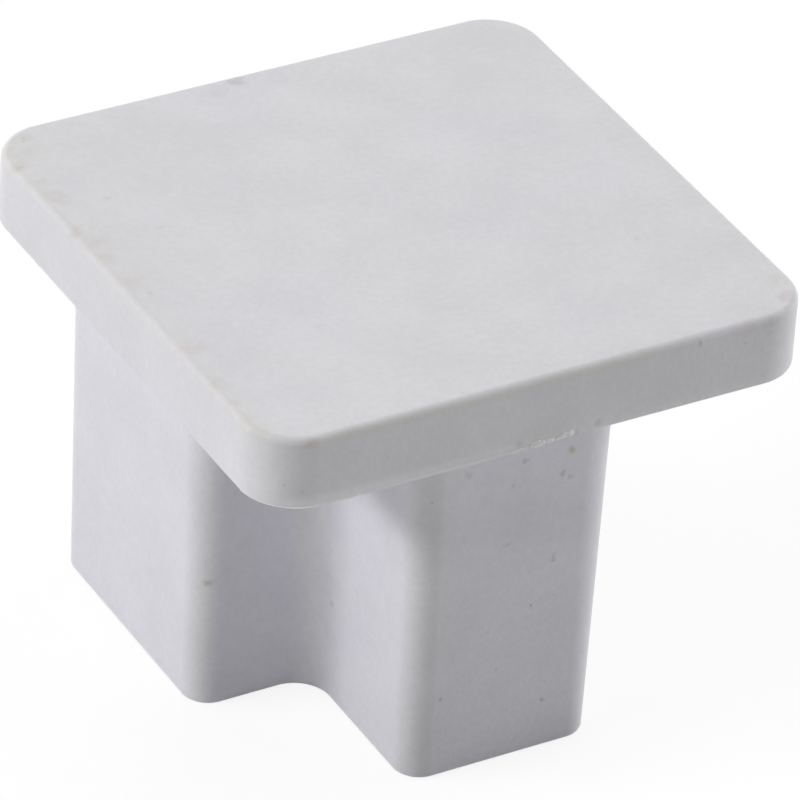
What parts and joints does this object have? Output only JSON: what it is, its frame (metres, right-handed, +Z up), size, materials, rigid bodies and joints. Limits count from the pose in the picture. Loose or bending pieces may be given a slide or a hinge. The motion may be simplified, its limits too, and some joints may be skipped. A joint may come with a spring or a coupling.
{
  "type": "trunking end cap",
  "caption": "Moulded plastic end cap for square mini trunking: a flat cover plate with rounded corners and a hollow L-shaped plug that pushes into the trunking's open end.",
  "frame": {"origin": "centre of the square plate in plan, on the surface that the plug's tip stands on", "axes": "+Z up, from the plug's tip to the plate; +X to the right, away from the notch; +Y to the back, with the notch at the front left"},
  "size_m": [0.016, 0.016, 0.0131],
  "materials": {
    "pvc": "satin moulded rigid PVC, white with a cool grey cast"
  },
  "bodies": {
    "root": {"end_cap": "pvc"}
  },
  "joints": []
}
